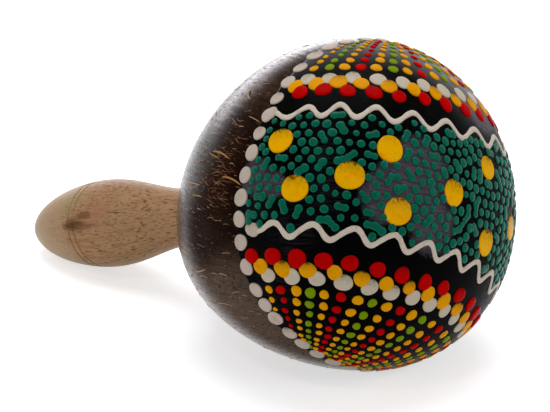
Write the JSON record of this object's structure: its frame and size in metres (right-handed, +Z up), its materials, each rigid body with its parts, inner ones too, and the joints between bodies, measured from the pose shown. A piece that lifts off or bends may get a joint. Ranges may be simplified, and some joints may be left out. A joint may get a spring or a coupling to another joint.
{
  "type": "coconut maraca",
  "caption": "Coconut shell maraca on a turned wooden handle, half painted black with dot ornament, with loose dry seeds inside.",
  "frame": {"origin": "middle of the bounding box seen from above, on the surface that the maraca lies on", "axes": "+X from the handle towards the painted dome, +Z up from the surface that it lies on"},
  "size_m": [0.1894, 0.0996, 0.0959],
  "materials": {
    "varnished_shell": "satin",
    "turned_wood": "satin",
    "set_glue": "satin",
    "dry_seed": "satin"
  },
  "bodies": {
    "maraca": {"coconut_shell": "varnished_shell", "handle": "turned_wood", "glue_bead": "set_glue"},
    "seed_01_body": {"seed_01": "dry_seed"},
    "seed_02_body": {"seed_02": "dry_seed"},
    "seed_03_body": {"seed_03": "dry_seed"},
    "seed_04_body": {"seed_04": "dry_seed"},
    "seed_05_body": {"seed_05": "dry_seed"},
    "seed_06_body": {"seed_06": "dry_seed"},
    "seed_07_body": {"seed_07": "dry_seed"},
    "seed_08_body": {"seed_08": "dry_seed"},
    "seed_09_body": {"seed_09": "dry_seed"},
    "seed_10_body": {"seed_10": "dry_seed"},
    "seed_11_body": {"seed_11": "dry_seed"},
    "seed_12_body": {"seed_12": "dry_seed"},
    "seed_13_body": {"seed_13": "dry_seed"},
    "seed_14_body": {"seed_14": "dry_seed"},
    "seed_15_body": {"seed_15": "dry_seed"},
    "seed_16_body": {"seed_16": "dry_seed"},
    "seed_17_body": {"seed_17": "dry_seed"},
    "seed_18_body": {"seed_18": "dry_seed"},
    "seed_19_body": {"seed_19": "dry_seed"},
    "seed_20_body": {"seed_20": "dry_seed"},
    "seed_21_body": {"seed_21": "dry_seed"},
    "seed_22_body": {"seed_22": "dry_seed"},
    "seed_23_body": {"seed_23": "dry_seed"},
    "seed_24_body": {"seed_24": "dry_seed"}
  },
  "joints": [
    {"name": "seed_01_flight", "type": "slide", "parent": "maraca", "child": "seed_01_body", "axis": [0, 0, 1], "range_m": [0, 0.0833]},
    {"name": "seed_02_flight", "type": "slide", "parent": "maraca", "child": "seed_02_body", "axis": [0, 0, 1], "range_m": [0, 0.0818]},
    {"name": "seed_03_flight", "type": "slide", "parent": "maraca", "child": "seed_03_body", "axis": [0, 0, 1], "range_m": [0, 0.0823]},
    {"name": "seed_04_flight", "type": "slide", "parent": "maraca", "child": "seed_04_body", "axis": [0, 0, 1], "range_m": [0, 0.0829]},
    {"name": "seed_05_flight", "type": "slide", "parent": "maraca", "child": "seed_05_body", "axis": [0, 0, 1], "range_m": [0, 0.0801]},
    {"name": "seed_06_flight", "type": "slide", "parent": "maraca", "child": "seed_06_body", "axis": [0, 0, 1], "range_m": [0, 0.0826]},
    {"name": "seed_07_flight", "type": "slide", "parent": "maraca", "child": "seed_07_body", "axis": [0, 0, 1], "range_m": [0, 0.0802]},
    {"name": "seed_08_flight", "type": "slide", "parent": "maraca", "child": "seed_08_body", "axis": [0, 0, 1], "range_m": [0, 0.0793]},
    {"name": "seed_09_flight", "type": "slide", "parent": "maraca", "child": "seed_09_body", "axis": [0, 0, 1], "range_m": [0, 0.082]},
    {"name": "seed_10_flight", "type": "slide", "parent": "maraca", "child": "seed_10_body", "axis": [0, 0, 1], "range_m": [0, 0.078]},
    {"name": "seed_11_flight", "type": "slide", "parent": "maraca", "child": "seed_11_body", "axis": [0, 0, 1], "range_m": [0, 0.0806]},
    {"name": "seed_12_flight", "type": "slide", "parent": "maraca", "child": "seed_12_body", "axis": [0, 0, 1], "range_m": [0, 0.08]},
    {"name": "seed_13_flight", "type": "slide", "parent": "maraca", "child": "seed_13_body", "axis": [0, 0, 1], "range_m": [0, 0.0763]},
    {"name": "seed_14_flight", "type": "slide", "parent": "maraca", "child": "seed_14_body", "axis": [0, 0, 1], "range_m": [0, 0.0808]},
    {"name": "seed_15_flight", "type": "slide", "parent": "maraca", "child": "seed_15_body", "axis": [0, 0, 1], "range_m": [0, 0.0763]},
    {"name": "seed_16_flight", "type": "slide", "parent": "maraca", "child": "seed_16_body", "axis": [0, 0, 1], "range_m": [0, 0.0762]},
    {"name": "seed_17_flight", "type": "slide", "parent": "maraca", "child": "seed_17_body", "axis": [0, 0, 1], "range_m": [0, 0.0792]},
    {"name": "seed_18_flight", "type": "slide", "parent": "maraca", "child": "seed_18_body", "axis": [0, 0, 1], "range_m": [0, 0.075]},
    {"name": "seed_19_flight", "type": "slide", "parent": "maraca", "child": "seed_19_body", "axis": [0, 0, 1], "range_m": [0, 0.0784]},
    {"name": "seed_20_flight", "type": "slide", "parent": "maraca", "child": "seed_20_body", "axis": [0, 0, 1], "range_m": [0, 0.0754]},
    {"name": "seed_21_flight", "type": "slide", "parent": "maraca", "child": "seed_21_body", "axis": [0, 0, 1], "range_m": [0, 0.0728]},
    {"name": "seed_22_flight", "type": "slide", "parent": "maraca", "child": "seed_22_body", "axis": [0, 0, 1], "range_m": [0, 0.0776]},
    {"name": "seed_23_flight", "type": "slide", "parent": "maraca", "child": "seed_23_body", "axis": [0, 0, 1], "range_m": [0, 0.0731]},
    {"name": "seed_24_flight", "type": "slide", "parent": "maraca", "child": "seed_24_body", "axis": [0, 0, 1], "range_m": [0, 0.0742]}
  ]
}
